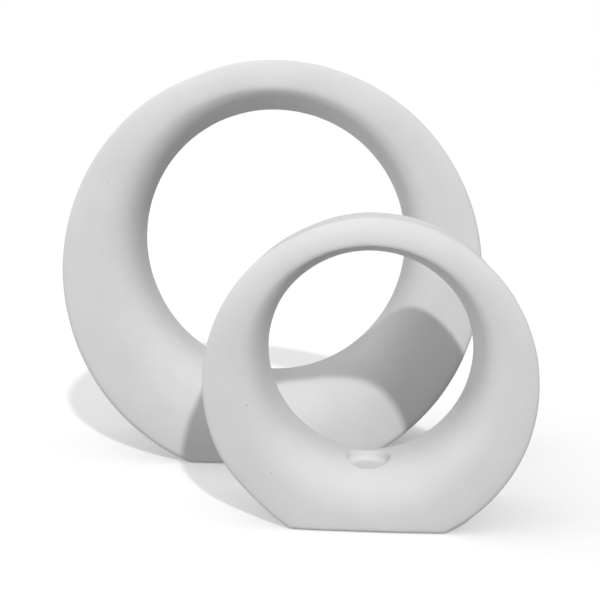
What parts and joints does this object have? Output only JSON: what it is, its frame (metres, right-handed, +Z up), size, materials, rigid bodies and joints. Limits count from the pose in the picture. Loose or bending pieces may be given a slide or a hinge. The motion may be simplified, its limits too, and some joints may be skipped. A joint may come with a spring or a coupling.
{
  "type": "plaster ring casting set",
  "caption": "Matte white plaster rings with off-centre round holes, thin at the top and heavy at the flat foot; the front ring has a blind candle socket in its hole.",
  "frame": {"origin": "middle of the large ring's standing face", "axes": "+Z up; +Y along the large ring's hole, away from the viewer; +X to the viewer's right, along the large ring's width"},
  "size_m": [0.2676, 0.1961, 0.2419],
  "materials": {
    "plaster": "matte set plaster, fine-grained, unglazed"
  },
  "bodies": {
    "large": {"large_ring": "plaster"},
    "small": {"small_ring": "plaster"}
  },
  "joints": [
    {"name": "small_ring_slide", "type": "slide", "parent": "large", "child": "small", "axis": [0, -1, 0], "range_m": [0, 0.15]}
  ]
}
